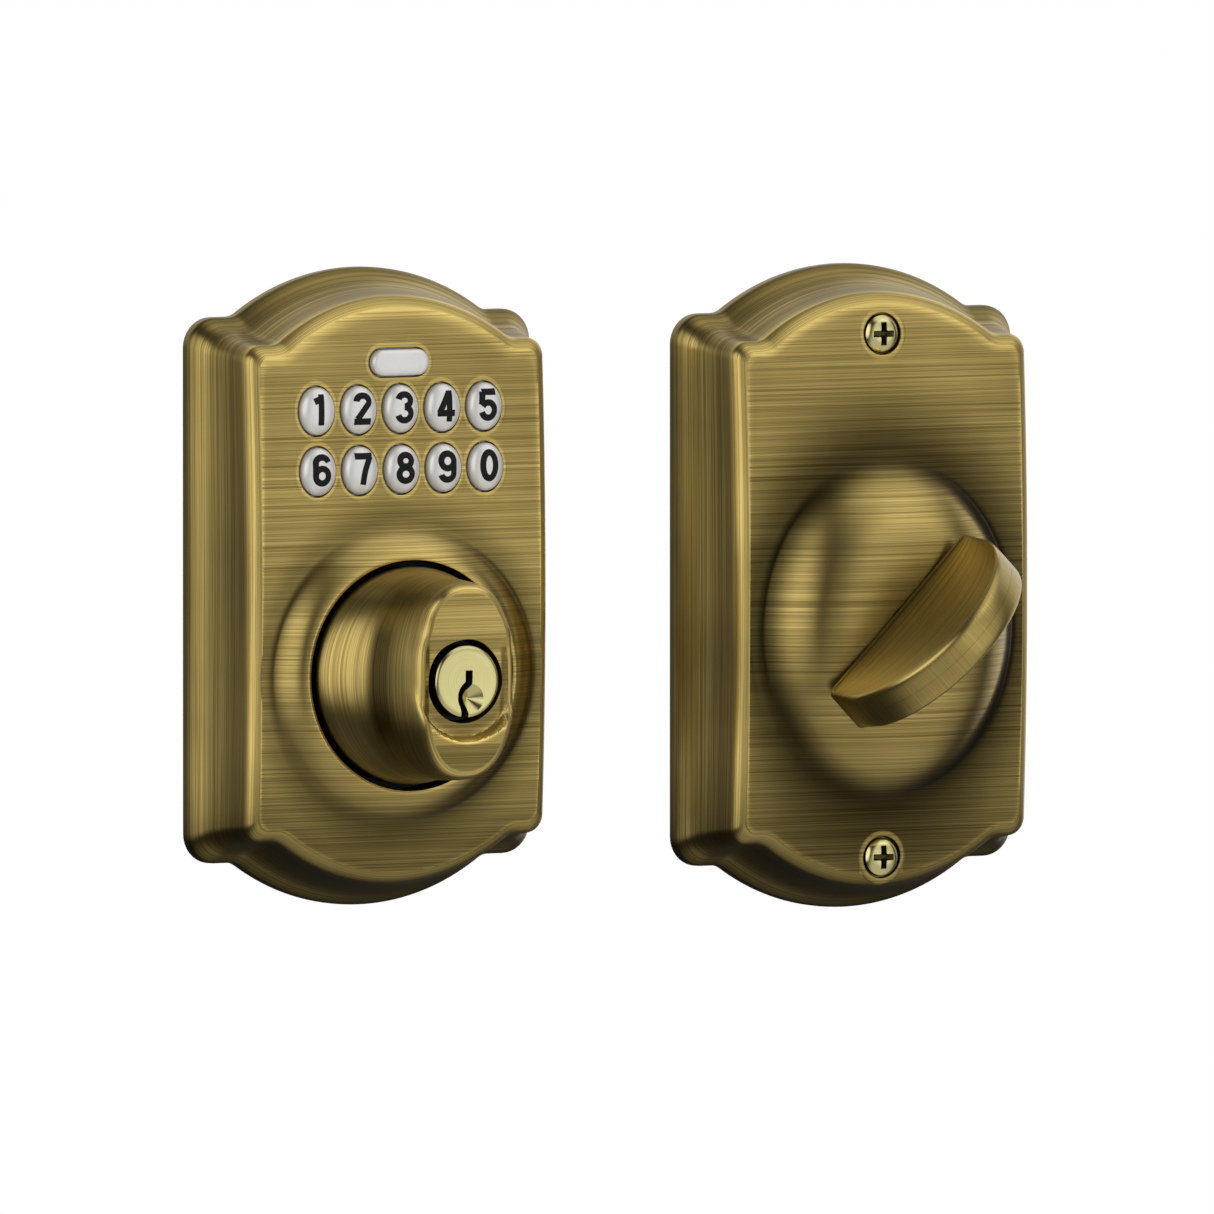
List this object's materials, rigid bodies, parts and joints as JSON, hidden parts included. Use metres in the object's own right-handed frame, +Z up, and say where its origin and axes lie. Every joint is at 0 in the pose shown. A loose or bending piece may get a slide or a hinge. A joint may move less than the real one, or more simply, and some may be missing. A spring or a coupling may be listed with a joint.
{
  "type": "keypad smart lock",
  "caption": "Keypad deadbolt trim: exterior half with digit keys, a turn knob and key plug, and interior half with a half-moon thumbturn, both with arched antique brass housings.",
  "frame": {"origin": "on the flat back of the exterior half's steel back plate, at the middle of that half", "axes": "+Z up, the faces with the keys and the thumbturn look along -Y, the backs lie on y = 0, the interior half is towards +X"},
  "size_m": [0.1882, 0.1086, 0.131],
  "materials": {
    "antique_brass": "brushed antique brass plating, dark lacquer in the coves",
    "bright_brass": "polished",
    "key_satin": "satin warm grey with black printed digits",
    "steel": "zinc plated",
    "black_plastic": "moulded, fine grain",
    "white_nylon": "moulded",
    "grey_rubber": "matt",
    "circuit_board": "solder resist",
    "battery_label": "printed sleeve, no text"
  },
  "bodies": {
    "root": {"exterior_escutcheon": "antique_brass", "exterior_gasket": "grey_rubber", "exterior_back_plate": "steel", "plate_screw_1": "steel", "plate_screw_2": "steel", "plate_screw_3": "steel", "plate_screw_4": "steel", "mounting_post_left": "steel", "mounting_post_right": "steel", "cable_socket": "white_nylon", "keypad_membrane": "grey_rubber", "keypad_circuit_board": "circuit_board", "board_retainer": "black_plastic", "board_screw_left": "steel", "board_screw_right": "steel", "control_chip": "black_plastic", "piezo_buzzer": "black_plastic", "knob_bearing_plate": "steel", "cylinder_housing": "bright_brass", "lock_actuator": "black_plastic", "support_plate": "steel", "interior_gasket": "grey_rubber", "through_bolt_left": "steel", "through_bolt_right": "steel", "battery_9v": "battery_label", "battery_contact": "black_plastic", "battery_holder": "black_plastic"},
    "knob": {"turn_knob": "antique_brass", "knob_retaining_ring": "steel"},
    "plug": {"key_plug": "bright_brass"},
    "tail": {"drive_cam": "steel", "tailpiece": "steel", "tailpiece_clip": "steel"},
    "pin": {"locking_pin": "steel"},
    "key_1": {"digit_key_1": "key_satin"},
    "key_2": {"digit_key_2": "key_satin"},
    "key_3": {"digit_key_3": "key_satin"},
    "key_4": {"digit_key_4": "key_satin"},
    "key_5": {"digit_key_5": "key_satin"},
    "key_6": {"digit_key_6": "key_satin"},
    "key_7": {"digit_key_7": "key_satin"},
    "key_8": {"digit_key_8": "key_satin"},
    "key_9": {"digit_key_9": "key_satin"},
    "key_0": {"digit_key_0": "key_satin"},
    "pill": {"pill_button": "key_satin"},
    "cover": {"interior_cover": "antique_brass", "cover_screw_top": "bright_brass", "cover_screw_bottom": "bright_brass", "thumbturn_bushing": "white_nylon"},
    "turn": {"thumbturn": "antique_brass", "thumbturn_spindle": "steel", "spindle_clip": "steel", "spring_washer": "steel"}
  },
  "joints": [
    {"name": "knob_turn", "type": "hinge", "parent": "root", "child": "knob", "pos_m": [0, 0, -0.0167], "axis": [0, -1, 0], "continuous": true},
    {"name": "key_turn", "type": "hinge", "parent": "root", "child": "plug", "pos_m": [0, 0, -0.0167], "axis": [0, -1, 0], "range_deg": [-90, 90]},
    {"name": "tailpiece_turn", "type": "hinge", "parent": "root", "child": "tail", "pos_m": [0, 0, -0.0167], "axis": [0, -1, 0], "range_deg": [-90, 90]},
    {"name": "locking_pin_slide", "type": "slide", "parent": "root", "child": "pin", "axis": [0, 0, 1], "range_m": [0, 0.0015]},
    {"name": "key_1_press", "type": "slide", "parent": "root", "child": "key_1", "axis": [0, 1, 0], "range_m": [0, 0.001], "stiffness_N_per_m": 400},
    {"name": "key_2_press", "type": "slide", "parent": "root", "child": "key_2", "axis": [0, 1, 0], "range_m": [0, 0.001], "stiffness_N_per_m": 400},
    {"name": "key_3_press", "type": "slide", "parent": "root", "child": "key_3", "axis": [0, 1, 0], "range_m": [0, 0.001], "stiffness_N_per_m": 400},
    {"name": "key_4_press", "type": "slide", "parent": "root", "child": "key_4", "axis": [0, 1, 0], "range_m": [0, 0.001], "stiffness_N_per_m": 400},
    {"name": "key_5_press", "type": "slide", "parent": "root", "child": "key_5", "axis": [0, 1, 0], "range_m": [0, 0.001], "stiffness_N_per_m": 400},
    {"name": "key_6_press", "type": "slide", "parent": "root", "child": "key_6", "axis": [0, 1, 0], "range_m": [0, 0.001], "stiffness_N_per_m": 400},
    {"name": "key_7_press", "type": "slide", "parent": "root", "child": "key_7", "axis": [0, 1, 0], "range_m": [0, 0.001], "stiffness_N_per_m": 400},
    {"name": "key_8_press", "type": "slide", "parent": "root", "child": "key_8", "axis": [0, 1, 0], "range_m": [0, 0.001], "stiffness_N_per_m": 400},
    {"name": "key_9_press", "type": "slide", "parent": "root", "child": "key_9", "axis": [0, 1, 0], "range_m": [0, 0.001], "stiffness_N_per_m": 400},
    {"name": "key_0_press", "type": "slide", "parent": "root", "child": "key_0", "axis": [0, 1, 0], "range_m": [0, 0.001], "stiffness_N_per_m": 400},
    {"name": "pill_press", "type": "slide", "parent": "root", "child": "pill", "axis": [0, 1, 0], "range_m": [0, 0.001], "stiffness_N_per_m": 400},
    {"name": "cover_lift_off", "type": "slide", "parent": "root", "child": "cover", "axis": [0, -1, 0], "range_m": [0, 0.06]},
    {"name": "thumbturn_turn", "type": "hinge", "parent": "cover", "child": "turn", "pos_m": [0.1107, 0, -0.0108], "axis": [0, -1, 0], "range_deg": [-45, 45]}
  ],
  "couplings": [
    {"joint": "tailpiece_turn", "follows": "key_turn", "ratio": 1}
  ]
}
